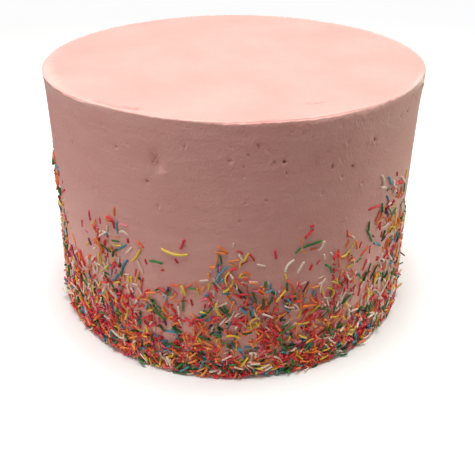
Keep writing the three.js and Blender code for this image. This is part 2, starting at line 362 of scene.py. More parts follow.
# Bubbles that the scraper opened in the side: azimuth, height, half width, half height, depth.
SIDE_MARKS = [
    (-20, 124.2, 1, 0.8, 0.45), (-18.9, 127.8, 0.8, 0.9, 0.5), (-19.4, 126, 0.8, 0.7, 0.45),
    (-18.3, 123, 0.8, 0.6, 0.4), (-48.3, 120.8, 1.6, 1.3, 0.45), (-40.8, 118.3, 1.4, 1.3, 0.35),
    (-39.7, 100.3, 1.3, 1.2, 0.3), (-34.7, 137, 1.4, 1.1, 0.35), (-30.4, 128.3, 1.7, 1.4, 0.6),
    (-26.9, 131.1, 1.1, 1, 0.5), (-25.7, 120.2, 1.2, 1.2, 0.3), (-21.9, 114, 1.5, 1.3, 0.9),
    (-19.2, 101.8, 1.5, 1.5, 0.5), (-11.6, 134.3, 1.6, 1.4, 0.5), (-0.7, 128, 1.7, 1.2, 0.6),
    (2.5, 125, 1.4, 1.2, 0.4), (3.6, 130.8, 1.3, 1, 0.6), (6.1, 135.2, 1.6, 0.8, 0.9),
    (12.5, 126.6, 1.5, 1.5, 1.5), (10.2, 127.2, 1.6, 0.9, 0.6), (13.2, 121, 1.1, 1.9, 0.7),
    (8.2, 107.5, 1.3, 1.2, 0.5), (3.1, 106.6, 1.3, 1.3, 0.4), (1.7, 97.2, 1.2, 1.2, 0.5),
    (16.3, 120, 1.9, 0.6, 0.3), (20.7, 123.9, 1.4, 1.1, 0.4), (24, 128.4, 1.7, 1, 0.45),
    (25.7, 120.9, 1.1, 2.4, 0.9), (23.2, 107.5, 1.5, 1.3, 0.4), (29.9, 131.4, 2, 2.2, 0.4),
    (32.2, 118.5, 1.6, 1.1, 0.9), (28.9, 114.3, 1.4, 1.1, 0.5), (39.4, 128.7, 1.5, 1.7, 1.4),
    (36.2, 107.5, 1.4, 1.2, 0.5), (44.5, 135, 1.7, 1, 0.4), (55.1, 135, 2, 0.9, 0.8),
    (50.6, 135, 1.3, 1.1, 0.4), (67.5, 141.4, 1.3, 1.2, 1.1), (60, 139.6, 0.9, 2, 0.8),
    (57.5, 142.4, 1.3, 0.9, 0.6), (74, 138, 1.4, 1.8, 0.8),
]
SMALL_MARKS = 200
SMALL_MARK_HEIGHTS = (70, 142)
SMALL_MARK_DEPTHS = (0.05, 0.4)
SMALL_MARK_WIDTHS = (0.8, 1.4)
SMALL_MARK_TALLER = (0.6, 1.3)
MARKS_SEED = 8

# Patches of side that the scraper tore more: azimuth, height, half width, half height, and how many marks.
TORN_PATCHES = [(28, 120, 15, 13, 46), (2, 124, 10, 9, 14), (-34, 122, 14, 12, 10), (128, 108, 20, 16, 24),
                (-130, 116, 22, 14, 24)]
TEAR_SHARE = 0.4
TEAR_WIDER = 1.6
TEAR_LOWER = 0.5

# A mark's section: how wide its hole is and where its lip lies, as shares of the mark's half width, how
# deep each of its parts is for its depth, and the way to its lip, inwards and down.
HOLE_WIDTH = 0.4
LIP_PLACE = 0.9
LIP_WIDTH = 0.35
LIP_INWARDS = 0.8
LIP_DOWN = 0.6
MARK_LIP = 0.42
MARK_HOLLOW = 0.35
MARK_HOLE = 0.2
DEEP_HOLE = 0.6
DEEP_MARK = 0.3
# The lip's tone is a painted highlight, lighter where the lip catches the light from above.
LIP_HIGHLIGHT = 0.1

# Drags on the top: azimuth, radius, half width along the edge, half width across it, depth.
TOP_DRAGS = [
    (-37, 104.4, 4, 0.6, 0.5), (-31.5, 103.5, 4.5, 0.7, 0.5), (-28, 102.2, 3, 0.8, 0.6),
    (-25.8, 101, 1.6, 1.1, 0.7), (-3, 105, 9, 0.4, 0.4), (10, 105.2, 5, 0.4, 0.5),
    (23.3, 88.4, 1, 0.6, 0.5), (26, 90.2, 5, 0.5, 0.6),
]
DRAGGED_PINK = 0.65
# The tone in each bubble's hollow is a painted shade, darker and pinker.
HOLLOW_SHADE = 0.12

# Stretches of rim that the scraper leaned in or left flared: azimuth, half width, lean inwards, band below.
RIM_LEANS = [(28, 19, 0.85, 2.6), (4, 7, 0.6, 2), (66, 6, 0.9, 2.4), (-74, 20, -0.5, 14), (98, 32, -1.4, 14),
             (150, 16, 0.7, 2.4), (214, 13, 0.8, 2.2), (252, 24, 0.5, 14)]

# Stretches of rim that stand up or fall short: azimuth, half width, height.
RIM_FOLDS = [(8, 3.5, 0.5), (14, 3, 0.4), (33, 4, 0.3), (-31, 10, 0.3), (61, 5, 0.6), (68, 3, 0.5),
             (122, 26, 0.6), (158, 9, 0.3), (205, 20, -0.4), (244, 22, -0.5)]
RIM_LIP = 0.15
FOLD_REACH = 2.2

# Stretches of rim given a painted highlight, lighter and creamier for a tone below 0 (a tone above 0 makes
# them pinker): azimuth, half width, how far in, and the tone.
RIM_HIGHLIGHTS = [(-70, 20, 5, -0.34), (-37, 7, 1.6, -0.34), (-9, 8, 0.9, -0.2), (28, 20, 1.6, -0.12),
             (64, 9, 2.2, -0.34), (120, 26, 1.5, -0.3), (175, 25, 1.4, -0.3), (230, 24, 3, -0.3)]
HIGHLIGHT_DOWN = 0.7
HIGHLIGHT_EDGE = 4


def icing_outline():
    """The cake's outline from the middle of its base round to the middle of its top, as (radius, height)."""
    quarter = [math.radians(90 * step / ROUNDING_STEPS) for step in range(ROUNDING_STEPS + 1)]
    foot = [(FOOT_RADIUS - FOOT_ROUNDING * (1 - math.sin(a)), FOOT_ROUNDING * (1 - math.cos(a)))
            for a in quarter]
    heights = [*np.arange(FOOT_ROUNDING, STRANDS_HIDE, COVERED_ROW)[1:],
               *np.arange(STRANDS_HIDE, HEIGHT - RIM_BAND, BARE_ROW),
               *np.arange(HEIGHT - RIM_BAND, SHOULDER, RIM_ROW)]
    inner = TOP_RADIUS - RIM_ROUNDING
    rim = [(inner + RIM_ROUNDING * math.cos(a), SHOULDER + RIM_ROUNDING * math.sin(a)) for a in quarter]
    rows = [inner * (1 - (step / TOP_ROWS) ** TOP_CROWDING) for step in range(1, TOP_ROWS)]
    inside, outside = SCRATCHED_RADII
    rows = [row for row in rows if not inside < row < outside] + [*np.arange(inside, outside, SCRATCHED_ROW)]
    top = [(row, HEIGHT) for row in sorted(rows, reverse=True)]
    return [(0, 0), (FOOT_RADIUS / 2, 0), *foot, *((taper(z), z) for z in heights), *rim, *top, (0, HEIGHT)]


def side_marks():
    """The listed bubbles, and fainter ones all round."""
    draw = random.Random(MARKS_SEED)
    marks = list(SIDE_MARKS)
    places = [(draw.uniform(-180, 180), draw.uniform(*SMALL_MARK_HEIGHTS)) for _ in range(SMALL_MARKS)]
    for azimuth, height, wide, tall, count in TORN_PATCHES:
        places += [(draw.gauss(azimuth, wide), draw.gauss(height, tall)) for _ in range(count)]
    for azimuth, height in places:
        width = draw.uniform(*SMALL_MARK_WIDTHS)
        tall = width * draw.uniform(*SMALL_MARK_TALLER)
        if draw.random() < TEAR_SHARE:
            width, tall = width * TEAR_WIDER, tall * TEAR_LOWER
        highest = HEIGHT - RIM_BAND
        marks.append((azimuth, min(height, highest), width, tall, draw.uniform(*SMALL_MARK_DEPTHS)))
    return marks


def from_marks(marks, azimuth, other, along_radius):
    """How far each point lies from each mark's middle, along and across, in the mark's half widths."""
    table = np.array(marks)
    along = turned_from(azimuth[:, None], table[:, 0]) * np.radians(np.reshape(along_radius, (-1, 1)))
    return along / table[:, 2], (other[:, None] - table[:, 1]) / table[:, 3]


def waves(points, table):
    """A table's smooth noises at each point, added up."""
    total = np.zeros(len(points))
    for strength, size, seed in table:
        total += [strength * noise.noise(Vector(place)) for place in points / size + seed]
    return total


def polar(mesh_points):
    """The azimuth, radius and height of each point."""
    x, y, z = mesh_points.T
    return np.degrees(np.arctan2(x, -y)), np.hypot(x, y), z


def dents(marks, azimuth, other, along_radius):
    """How deep the plain dents are at each point."""
    away = np.hypot(*from_marks(marks, azimuth, other, along_radius))
    return (np.exp(-(away ** 2)) * np.array(marks)[:, 4]).sum(1)


def mark_depth(marks, azimuth, other, along_radius, places):
    """How deep the bubbles are at each point, how far down a hole it lies from 0 to 1, which sets the painted
    shade in the holes, and its tone: a painted shade in each hollow and a painted highlight on each lip.
    A mark is a shallow ragged hollow with a raised lip on its lower inner side. A deep one has a hole too."""
    depths, side = np.array(marks)[:, 4], np.sign(np.array(marks)[:, 0])
    along, across = from_marks(marks, azimuth, other, along_radius)
    away = np.hypot(along, across) * (1 + waves(places, MARK_WAVES)[:, None])
    hole = np.exp(-((away / HOLE_WIDTH) ** 2))
    hollow = np.exp(-(away ** 2))
    rough = hollow * (1 + waves(places, HOLLOW_WAVES)[:, None])
    lee = np.clip(-(LIP_DOWN * across + LIP_INWARDS * along * side) / np.maximum(away, 0.1), 0, 1)
    lip = np.exp(-(((away - LIP_PLACE) / LIP_WIDTH) ** 2)) * lee * np.sqrt(depths)
    deep = np.clip(depths - DEEP_MARK, 0, 1)
    holes = hole * (MARK_HOLE * depths + DEEP_HOLE * deep)
    depth = (holes + MARK_HOLLOW * rough * depths - MARK_LIP * lip).sum(1)
    return depth, (hole * deep).max(1), (HOLLOW_SHADE * hollow * depths - LIP_HIGHLIGHT * lip).sum(1)


def rim_lean(azimuth, height, along):
    """How far the top of the side leans inwards."""
    ragged = 1 + waves(along, LEAN_WAVES)
    return sum(lean * bump(azimuth, centre, half) * np.clip(1 - (HEIGHT - height) / (band * ragged), 0, 1)
               for centre, half, lean, band in RIM_LEANS)


def rim_height(azimuth, along):
    """How far the top's edge stands proud of an even one, or falls short of it."""
    folds = sum(height * bump(azimuth, centre, half) for centre, half, height in RIM_FOLDS)
    return RIM_LIP + folds + waves(along, RIM_WAVES)


def rim_highlight(azimuth, radius, height, along):
    """How much pinker the icing is near the rim, or below 0, how much lighter and creamier with a painted
    highlight.
    """
    ragged = 1 + waves(along, RIM_HIGHLIGHT_WAVES)
    inwards = TOP_RADIUS - radius + HIGHLIGHT_DOWN * (HEIGHT - height)
    return sum(tone * bump(azimuth, centre, half) * np.exp(-((inwards / (reach * ragged)) ** HIGHLIGHT_EDGE))
               for centre, half, reach, tone in RIM_HIGHLIGHTS)


def uneven(points):
    """Each point of the smooth cake where the uneven icing puts it, how far down a hole it lies for the
    painted shade there, and how much pinker than plain icing it is, with painted shade in the marks' hollows
    and painted highlights on their lips and along the rim."""
    azimuth, radius, height = polar(points)
    angle = np.radians(azimuth)
    ring = TOP_RADIUS * np.stack([np.sin(angle), np.cos(angle), np.zeros(len(angle))], 1)
    turn = np.arctan2(np.clip(height - SHOULDER, 0, None),
                      np.clip(radius - TOP_RADIUS + RIM_ROUNDING, 1e-6, None))
    above = height > FOOT_ROUNDING + HAIR
    side, top = above * np.cos(turn), above * np.sin(turn)
    at_rim = above * np.exp(-(np.hypot(radius - TOP_RADIUS, height - HEIGHT) / FOLD_REACH) ** 2)

    cut, pit_shade, painted_mark_light = mark_depth(side_marks(), azimuth, height, TOP_RADIUS, points)
    out = waves(points, SIDE_WAVES) - cut - dents(SIDE_DENTS, azimuth, height, TOP_RADIUS)
    near_edge = np.clip((radius - TOP_RADIUS + SLOPE_WIDTH) / SLOPE_WIDTH, 0, 1)
    lean = above * near_edge * rim_lean(azimuth, height, ring)
    wider = bulge(azimuth, height) * (radius / taper(height)) ** 2 + side * out - lean

    drag = dents(TOP_DRAGS, azimuth, radius, radius)
    up = waves(points, TOP_WAVES) - drag / 2
    swell = TOP_SWELL * np.sin(points[:, 0] / SWELL_WIDTH + SWELL_SHIFT) * np.sin(points[:, 1] / SWELL_LENGTH)
    drop = SLOPE_DROP * near_edge ** 2 * bump(azimuth, SLOPE_AZIMUTH, SLOPE_SPREAD)
    higher = (height > SHOULDER - HAIR) * (swell - drop) + top * up + at_rim * rim_height(azimuth, ring)

    moved = radius + wider
    placed = np.stack([moved * np.sin(angle), -moved * np.cos(angle), height + higher], 1)
    # The marks add painted shade in their hollows and painted highlights on their lips.
    tone = DRAGGED_PINK * top * drag + side * painted_mark_light + rim_highlight(azimuth, radius, height, ring)
    return placed, side * pit_shade, tone


def refine_marks(bm):
    """Splits the faces round each bubble and drag, so that it has its own shape."""
    azimuth, radius, height = polar(np.array([v.co for v in bm.verts]))
    by_side = from_marks(side_marks() + SIDE_DENTS, azimuth, height, TOP_RADIUS)
    by_top = from_marks(TOP_DRAGS, azimuth, radius, radius)
    on_side = (height > STRANDS_HIDE) & (height < SHOULDER)
    near = np.where(on_side, np.hypot(*by_side).min(1) < MARK_REACH,
                    (height > SHOULDER) & (np.hypot(*by_top).min(1) < MARK_REACH))
    edges = [e for e in bm.edges if near[e.verts[0].index] and near[e.verts[1].index]]
    bmesh.ops.subdivide_edges(bm, edges=edges, cuts=MARK_CUTS, use_grid_fill=True)


def make_icing():
    """The icing as one closed piece, turned from its outline and then made uneven."""
    bm = bmesh.new()
    chain = [bm.verts.new((radius, 0, height)) for radius, height in icing_outline()]
    line = [bm.edges.new(pair) for pair in zip(chain, chain[1:])]
    bmesh.ops.spin(bm, geom=chain + line, cent=(0, 0, 0), axis=(0, 0, 1), angle=math.tau, steps=TURNS,
                   use_merge=True)
    bmesh.ops.remove_doubles(bm, verts=bm.verts, dist=MERGED)
    bmesh.ops.recalc_face_normals(bm, faces=bm.faces)
    bm.verts.index_update()
    refine_marks(bm)
    placed, pit_shade, tone = uneven(np.array([v.co for v in bm.verts]))
    for vertex, place in zip(bm.verts, placed * MM):
        vertex.co = place
    mesh = finished_mesh("icing", bm, buttercream())
    # Painted shade down the bubbles' holes, then the tone, which also holds painted shade and painted
    # highlights.
    set_values(mesh, "pit_shade", pit_shade)
    set_values(mesh, "tone", tone)
    icing = add_piece("icing", mesh)
    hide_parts(WHOLE)


def finished_mesh(name, bm, material):
    """A mesh of one material from a bmesh."""
    mesh = bpy.data.meshes.new(name)
    bm.to_mesh(mesh)
    bm.free()
    mesh.materials.append(material)
    return mesh


def set_values(mesh, name, values):
    """Gives each of a mesh's points a value for the shader."""
    mesh.attributes.new(name, "FLOAT", "POINT").data.foreach_set("value", values.astype(np.float32))


def add_piece(name, mesh):
    """A smooth-shaded piece of the cake that rides on its body."""
    mesh.shade_smooth()
    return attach(add_object(name, mesh), "root")


# ---------------------------------------------------------------- where the strands lie

STRAND_DIAMETER = 1.3
STRAND_SUNK = 0.36
Strand = namedtuple("Strand", "start end bend kind thick poke sticks")

# The largest strands, thrown by the same rule as in the solid
STRAND_LENGTHS = (6.5, 10)
STRAND_BEND = 0.5
STRAND_CLEARANCE = 4.2
STRAND_THROWS = 1500
STRAND_SEED = 20
LOWEST_THROW = 3
HIGHEST_THROW = 101
STRANDS_AT_MOST = 176
CLOSE_HEIGHT = 26
COVER_FALL = 1.3
BAND_HEIGHT = 58
FRONT_ARC = 62
FRONT_BAND = 52

# The strands were thrown at the foot by the handful, so they reach high in places: azimuth, top, spread.
HANDFULS = [
    (-65, 98, 9), (-33, 95, 12), (-3, 84, 10), (21, 90, 6), (33, 74, 8), (48, 104, 9), (62, 97, 9),
    (86, 78, 10), (109, 97, 11), (136, 80, 9), (158, 101, 12), (183, 84, 9), (206, 95, 11), (231, 76, 10),
    (254, 93, 10), (276, 80, 9),
]

# The large strands that stand apart on the front: kind, azimuth and height of both ends, bend.
LONE_STRANDS = [
    ("yellow", -19, 78.4, -11.6, 77.4, -1.7), ("red", -12.6, 85.7, -13.7, 80, 0.3),
    ("green", -22.7, 69.5, -18.9, 69.4, 0.4), ("white", 1.6, 79.1, 2.8, 74.6, 0),
    ("red", 11, 80.3, 11.4, 75.2, 0), ("white", 16.4, 73.1, 14.1, 66.5, -1.2),
    ("scarlet", 14.8, 61.4, 16.9, 52.6, 1), ("white", 19.3, 71, 17.5, 64.7, 0),
    ("white", 2.1, 62.3, 6.7, 62, 0.5), ("red", 21.5, 88.8, 19.1, 84.8, 0),
    ("green", 18.9, 79.4, 24.2, 80.9, 0.4), ("white", 25, 80.6, 23.3, 75.8, 0.8),
    ("orange", -33, 95, -33.2, 90, 0), ("red", -35.5, 88.6, -33.7, 82, 1),
    ("red", -40.5, 74.9, -42.8, 66.8, 0.4), ("blue", -32.9, 70.3, -30, 74.9, 0),
    ("yellow", -25.4, 74.9, -28.4, 66.2, 0.5), ("blue", -30, 65.6, -32.4, 56.9, -0.6),
    ("scarlet", -26.4, 79.3, -24.4, 76.2, 0), ("red", 40.2, 89.8, 46, 88.3, 0.5),
    ("green", 40.5, 77.7, 43.6, 68.1, 0), ("blue", 44.5, 66.2, 48.5, 61.3, 0.6),
    ("scarlet", 29.2, 71.2, 32.7, 65.6, -0.5), ("green", 25.9, 65.9, 28.4, 59.4, 1.2),
    ("white", 44.2, 107, 45.8, 100, 1), ("blue", 48.4, 103.6, 52.5, 95.8, -1),
    ("red", 53.1, 95.8, 58.9, 92.6, 0),
]

# Smaller strands that lie loose above the band on the front, by kind: both ends, and a bend if there is one.
LOOSE_STRANDS = {
    "orange": [
        (-36.5, 88, -34.7, 85.8, -1.8), (-34.3, 76.8, -31.9, 78.3), (-46.1, 56.3, -47.5, 52.9),
        (-3.7, 83.3, -1.2, 79.4), (-4.5, 79.7, -1.6, 79.4, 0.3), (-3.7, 79.1, -4.4, 71.3),
        (-1.3, 74.6, 1.9, 76.1), (-0.7, 73.4, 1.2, 71.9), (-6, 71, -4.4, 71.6), (-6.3, 67.4, -6.1, 64.7),
        (-10, 61.7, -8.9, 55.9), (2.9, 68.3, 4.5, 66.2, 0.8), (7.2, 58.7, 8.2, 58.7, 0.4),
        (8.2, 58.4, 7.9, 50.8), (4, 52.6, 6.4, 54.4, 1.2), (14.1, 56.9, 15.9, 53.8),
        (18.3, 84.5, 18.3, 80.6), (18.5, 77.9, 19.6, 75.5), (18.6, 53.8, 18.9, 42.4),
        (48.7, 86, 46.9, 82.4), (47.2, 82.2, 44.3, 78.2, 0.8), (50.2, 77.2, 51.7, 71.8),
        (55.4, 86, 61.8, 84.8), (62.1, 71, 61.9, 67.4), (-62.3, 60.9, -65, 54), (30, 68.7, 31.2, 60.6),
        (32.4, 72.4, 33.9, 74), (35.7, 56.9, 37.3, 51.3),
    ],
    "red": [
        (-36, 88, -33.4, 84.8, 1.2), (-39.2, 84.8, -39.2, 81.4), (-29.4, 78.9, -29.2, 76.5),
        (-24.2, 69.6, -23.7, 66.8), (-35.7, 58.8, -34.3, 60.6, 0.8), (-25.2, 57.5, -25.6, 54.4),
        (-15.3, 73.7, -14.5, 71.3), (-19.3, 65, -18.7, 65.9), (-0.7, 69.2, 1.2, 71.3),
        (-4.7, 60.5, -4.1, 58.1), (20.4, 90.9, 21.4, 90.9), (47.4, 80.4, 49.7, 77.7),
        (47.2, 77.2, 46.1, 74.5), (56.1, 76.1, 58.1, 71.3), (48.8, 70.1, 48.3, 66.9),
        (53.6, 102.5, 54, 99.9), (50.9, 94.2, 52.9, 93.9), (57.2, 93.3, 62.9, 89.1),
        (60.3, 81.8, 63.4, 81.4), (-58.7, 86.5, -64, 80), (-68.7, 75.2, -70, 68), (-74, 99, -76.5, 94),
        (-71, 84, -75, 82), (34.2, 62.5, 35.8, 64.7), (28.7, 61.6, 30.7, 59.4), (34.5, 53.5, 34.3, 45.7),
        (42.1, 58.2, 40.7, 51.9), (36.2, 43.9, 37.5, 38.9), (43.8, 42.6, 44.8, 40.8),
        (49.6, 47, 52.9, 40.8),
    ],
    "pink": [
        (-31.5, 86.4, -28.9, 86.4), (-42.1, 78, -40.3, 77.5), (-47.6, 70.9, -45.8, 70.9),
        (-58.6, 72.2, -64.5, 62, -1.2),
    ],
    "white": [
        (-32.2, 80.5, -29, 80.8, 2), (-36.2, 82.4, -36.7, 78.6), (-38.2, 78.3, -34.8, 77.7),
        (-44.3, 61.9, -42.3, 64.4), (-30.2, 69.9, -28.2, 74.3), (-37.5, 61.9, -38, 56.3),
        (-33, 65.6, -33.4, 60), (-50.6, 56.3, -50.6, 51.9, 0.8), (-33.9, 54.4, -29.7, 56.6),
        (-5.9, 69, -5.7, 68.2), (-8.7, 62.3, -6.3, 63.2), (-5, 65, -2.3, 57.8, -0.8),
        (-4.9, 56.9, -5.2, 48.4), (0.3, 85.4, 0, 83), (6.4, 72.8, 8.6, 71.3), (4.1, 60.5, 4.9, 61.1),
        (9.3, 62.3, 9.8, 60.2), (12.5, 55.6, 14.8, 49.9, -0.5), (18.6, 57.2, 20.4, 58.1),
        (49.3, 75.1, 49.4, 72.1, 1.4), (49.8, 85.4, 52.2, 85.4), (52.2, 98.9, 50.8, 96.3),
        (44.2, 100.3, 47.2, 98.2), (-64.6, 82.8, -68.1, 80.9), (-60, 80.7, -65.5, 73.5, 0.5),
        (34.3, 78.3, 35.5, 76.2), (27.4, 72.7, 28, 70.6), (25.2, 72.7, 25.6, 69.6),
        (31.5, 58.8, 32.7, 52.6, 1.6), (24.1, 58.2, 26.4, 58.8), (24.2, 54.7, 26.4, 55.7),
    ],
    "scarlet": [
        (-36.5, 68.7, -34.7, 67.8), (-40.2, 65, -38.5, 63.1), (-12.9, 56.3, -10.8, 60.2),
        (-17.1, 57.8, -14.4, 57.8, -0.6), (20.9, 77, 23, 77, 0.3), (39, 62.5, 42, 66.8),
        (53.9, 54.4, 55.3, 48.2),
    ],
    "green": [
        (-35.2, 74, -32.4, 75.2), (-40.8, 66.5, -37, 65.6, 1.8), (-38.7, 61.9, -38.5, 58.5),
        (-32.7, 61.9, -32.9, 59.1), (-26.7, 56.9, -26.2, 55), (-3.2, 78.2, -2.8, 73.1),
        (-5.3, 61.4, -4.5, 61.4), (-0.5, 58.7, -1.2, 56.6), (0.7, 60.5, 3.6, 52.6), (10.6, 55.3, 12, 53.5),
        (16.7, 76.7, 18.1, 79.7), (-22.1, 49, -20, 53.5, 1), (41.2, 82.4, 40.7, 77.4),
        (53.6, 76.2, 56.9, 78.3), (48.4, 95.4, 49.9, 95.2), (56.4, 69.8, 54.2, 64.5, 0.7),
        (60.9, 64.6, 65.2, 63.2), (-65.7, 80.8, -66.7, 78.3), (-65.4, 59.9, -59.6, 65),
        (33.9, 67.8, 35.3, 65.9), (-72, 92, -76, 87.5), (37.7, 59.4, 39.7, 60.3, 1),
        (44.6, 53.5, 43, 46.4),
    ],
    "yellow": [
        (-35.3, 71.2, -31.5, 73.7), (-46.1, 64.4, -47.6, 61.3), (-38.3, 70.6, -37.3, 72.7),
        (-36.3, 61.9, -34.8, 61.9), (-6.2, 61.4, -6.2, 57.5), (0.1, 65, -2.5, 56.9, 1.7),
        (4.1, 79.4, 3, 75.5), (1.6, 65.6, 4, 65.4), (2.5, 67.7, 1.9, 66.2), (14, 65.9, 14.6, 62.3),
        (53.9, 80.5, 56.3, 81.4), (28, 65.6, 29, 68.4), (33.7, 58.8, 36, 60, 0.5),
        (39.5, 46.7, 40.7, 45.4), (-70, 88, -74, 85),
    ],
    "plum": [
        (-45.8, 67.5, -44.8, 63.7), (43.6, 71.8, 44.8, 69.9),
    ],
    "blue": [
        (-37.2, 58.2, -36.3, 56), (-40.3, 54.7, -38.7, 53.5), (-3.7, 74, -3.9, 68),
        (-1.2, 72.2, -4.4, 62.6, -0.9), (-1.9, 63.2, -1.9, 61.1), (-2.8, 55.3, -0.8, 55.3),
        (-17.9, 54.7, -19.2, 48.1), (-7.3, 53.2, -5.3, 54.7, 0.8), (-0.4, 52.3, 1.1, 48.7, 0.4),
        (48.5, 92, 49.9, 88.2, 0.6), (49, 81.4, 51.8, 78.5), (37.7, 52.6, 38.3, 50.7),
    ],
}

# The band of small strands: how high it reaches round the cake, and how many deep it lies from the foot up.
BAND_EDGE = [
    (-88, 50), (-76, 60), (-62, 54), (-45, 53), (-25, 56), (-12, 54), (-6, 59), (2, 62), (8, 58), (13, 56),
    (18, 54), (24, 52), (31, 56), (38, 50), (45, 47), (52, 56), (60, 62), (72, 64), (86, 48), (109, 62),
    (136, 50), (158, 66), (183, 50), (206, 62), (231, 46), (254, 60),
]
BAND_SHARES = [0, 0.25, 0.45, 0.62, 0.8, 1, 1.08]
BAND_LAYERS = [6, 4.8, 3.3, 1.9, 1.1, 0.5, 0]
LOOSE_LAYERS = 0.45
BAND_FILL = [(-80, 1), (-64, 1), (-45, 1.25), (-30, 1.1), (-22, 0.7), (-12, 0.6), (-3, 1.1), (6, 1.3),
             (14, 1.25), (20, 1.1), (28, 1.3), (36, 0.95), (44, 0.75), (55, 0.85), (66, 1.1), (90, 0.8),
             (109, 1.2), (136, 0.8), (158, 1.3), (183, 0.8), (206, 1.2), (231, 0.7), (254, 1.1)]
FULL_BELOW = 16
THINNEST = 0.1
BEHIND_FADE = 6

# Clusters of loose strands above the band on the front: azimuth, height, half width, half height, layers.
CLUSTERS = [(-38, 71, 7, 11, 0.45), (0, 68, 6, 9, 0.5), (30, 66, 5, 9, 0.4), (40, 64, 5, 9, 0.3),
            (51, 78, 6, 13, 0.4), (60, 66, 6, 12, 0.5), (58, 92, 6, 7, 0.35), (-73, 86, 6, 11, 0.8)]
CLUMP = 13
CLUMPING = 1.6
KIND_CLUMP = 8
KIND_CLUMPING = 3.5
SMALL_THICKNESS = (0.8, 1.3)

# Lengths of the band's strands, as the least, the most and the commonest. The red ones broke up most.
WHOLE_LENGTHS = (2.2, 10, 4.6)
BROKEN_LENGTHS = (1.8, 7.5, 2.6)
BROKEN_KINDS = ["red", "scarlet", "pink"]
SMALL_SEED = 77
FOOTPRINT = 6.9
UPRIGHT = 90
LEAN_SPREAD = 45
CURLED_SHARE = 0.3
CURLS = (0.1, 0.2)
FAINT_BEND = 0.05
POKE_SHARE = 0.12
ON_TOP = 0.5
POKE_BELOW = 24
POKE_ANGLES = (12, 36)

# Strands stick only to icing or to strands that are pressed into it: how far out they reach, by height.
REACH_HEIGHTS = [0, 10, 24, 45]
REACHES = [3.4, 3, 2.6, 2.2]
PRESSED = 0.35


def seeded_draw(seed):
    """A repeatable random draw from 0 to 1, the same as the solid's."""
    state = seed
    while True:
        state = (state * 1664525 + 1013904223) % 2 ** 32
        yield state / 2 ** 32


def handful_top(azimuth):
    """How high the thrown strands reach at an azimuth."""
    rises = [(top - BAND_HEIGHT) * bump(azimuth, centre, spread) for centre, top, spread in HANDFULS]
    return BAND_HEIGHT + np.max(rises, axis=0)


def cover(azimuth, height):
    """The chance that a strand stays where it is thrown: certain at the foot, and none above the handful."""
    rise = (height - CLOSE_HEIGHT) / (handful_top(azimuth) - CLOSE_HEIGHT)
    return (1 - np.clip(rise, 0, 1)) ** COVER_FALL


def span(strand):
    """How far a strand runs round the side, how far it rises, and its length."""
    run = (strand.end[0] - strand.start[0]) * MM_PER_DEGREE
    rise = strand.end[1] - strand.start[1]
    return run, rise, math.hypot(run, rise)


def strand_points(strand):
    """The three points that a strand bends through on the side, each as (azimuth, height)."""
    run, rise, length = span(strand)
    middle = ((strand.start[0] + strand.end[0]) / 2 - strand.bend * rise / length / MM_PER_DEGREE,
              (strand.start[1] + strand.end[1]) / 2 + strand.bend * run / length)
    return [strand.start, middle, strand.end]


def apart(one, other):
    """Whether two strands keep clear of each other, by their ends and middles."""
    return all(
        math.hypot(turned_from(p[0], q[0]) * MM_PER_DEGREE, p[1] - q[1]) > STRAND_CLEARANCE
        for p in strand_points(one) for q in strand_points(other)
    )


def large_strands():
    """The strands that the solid has too: the lone ones, and those thrown by its rule."""
    lone = [Strand((a, z), (b, w), bend, kind, STRAND_DIAMETER, 0, True)
            for kind, a, z, b, w, bend in LONE_STRANDS]
    draw = seeded_draw(STRAND_SEED)
    kinds = random.Random(STRAND_SEED)
    kept = []
    for _ in range(STRAND_THROWS):
        azimuth = 360 * next(draw) - 180
        height = LOWEST_THROW + (HIGHEST_THROW - LOWEST_THROW) * next(draw)
        length = STRAND_LENGTHS[0] + (STRAND_LENGTHS[1] - STRAND_LENGTHS[0]) * next(draw)
        lean = math.pi * next(draw)
        bend = STRAND_BEND * (2 * next(draw) - 1)
        stays = next(draw) < cover(azimuth, height)
        across = length / 2 * math.cos(lean) / MM_PER_DEGREE
        up = length / 2 * math.sin(lean)
        thrown = Strand((azimuth - across, height - up), (azimuth + across, height + up), bend,
                        pick_kind(kinds, azimuth, height), STRAND_DIAMETER, 0, True)
        on_cake = height - up > STRAND_DIAMETER
        seen_apart = abs(azimuth) < FRONT_ARC and height > FRONT_BAND
        if len(kept) < STRANDS_AT_MOST and stays and on_cake and not seen_apart:
            if all(apart(thrown, other) for other in lone + kept):
                kept.append(thrown)
    return lone, kept


def drift(azimuth, height, size, layer):
    """Smooth noise over the unrolled side, from about -0.5 to 0.5."""
    angle = math.radians(azimuth)
    return noise.noise(Vector((FOOT_RADIUS * math.sin(angle), FOOT_RADIUS * math.cos(angle), height)) / size
                       + Vector((0, 0, 31 * layer)))


def fading(azimuth, height, middle, level, wide, tall):
    """A soft patch of the side: 1 at its middle, and fading to 0 outside its half width and half height."""
    return math.exp(-((turned_from(azimuth, middle) / wide) ** 2) - ((height - level) / tall) ** 2)


def pick_kind(draw, azimuth, height):
    """A strand's colour, by how common each is there. Alike ones tend to lie together."""
    weights = []
    for layer, (kind, (_, _, share)) in enumerate(STRAND_KINDS.items(), 1):
        weight = share * math.exp(KIND_CLUMPING * drift(azimuth, height, KIND_CLUMP, layer))
        for *place, factor in KIND_PATCHES.get(kind, []):
            weight *= 1 + (factor - 1) * fading(azimuth, height, *place)
        weights.append(weight)
    return draw.choices(list(STRAND_KINDS), weights)[0]


